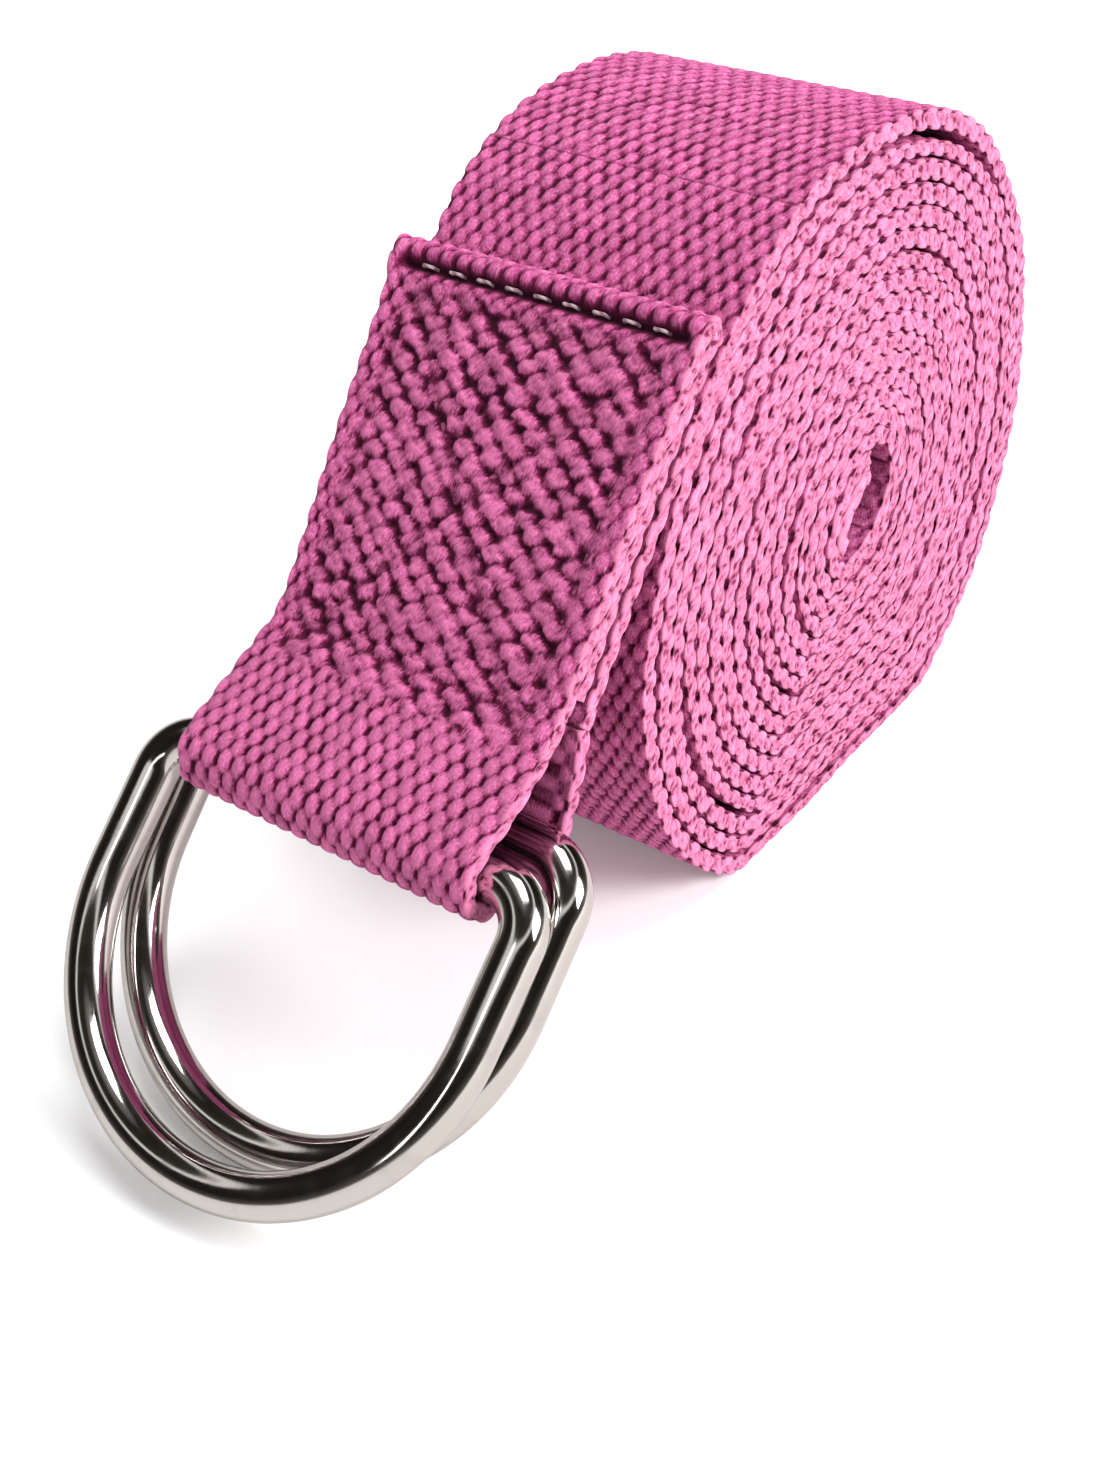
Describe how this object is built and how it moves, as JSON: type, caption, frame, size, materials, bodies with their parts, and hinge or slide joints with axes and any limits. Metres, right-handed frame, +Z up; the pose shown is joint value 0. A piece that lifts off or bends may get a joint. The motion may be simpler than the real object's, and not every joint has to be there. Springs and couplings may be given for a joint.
{
  "type": "stretching strap",
  "caption": "Cotton stretching strap wound into a roll, its sewn end holding a pair of D-rings that swing in a folded loop.",
  "frame": {"origin": "middle of the flattened patch that the roll rests on, at the middle of the strap's width", "axes": "+X away from the rings, +Y across the strap's width, +Z up from the surface the roll stands on"},
  "size_m": [0.1378, 0.0516, 0.0783],
  "materials": {
    "webbing": "matte",
    "thread": "matte",
    "ring_metal": "polished"
  },
  "bodies": {
    "roll": {"rolled_webbing": "webbing", "free_end_hem": "webbing", "free_end_stitches": "thread"},
    "sewn_end": {"end_back_layer": "webbing", "end_turned_under_layer": "webbing", "end_front_layer": "webbing", "hem_fold": "webbing", "ring_loop": "webbing", "hem_stitches": "thread", "side_stitches": "thread", "ring_row_stitches": "thread", "cross_stitches": "thread"},
    "outer_ring": {"outer_d_ring": "ring_metal"},
    "inner_ring": {"inner_d_ring": "ring_metal"}
  },
  "joints": [
    {"name": "end_lift", "type": "hinge", "parent": "roll", "child": "sewn_end", "pos_m": [-0.02546, 0, 0.06981], "axis": [0, 1, 0], "range_deg": [0, 40]},
    {"name": "outer_ring_swing", "type": "hinge", "parent": "sewn_end", "child": "outer_ring", "pos_m": [-0.06515, 0, 0.03042], "axis": [0, 1, 0], "range_deg": [0, 162]},
    {"name": "inner_ring_swing", "type": "hinge", "parent": "sewn_end", "child": "inner_ring", "pos_m": [-0.05864, 0, 0.02933], "axis": [0, 1, 0], "range_deg": [-88, 0]}
  ]
}
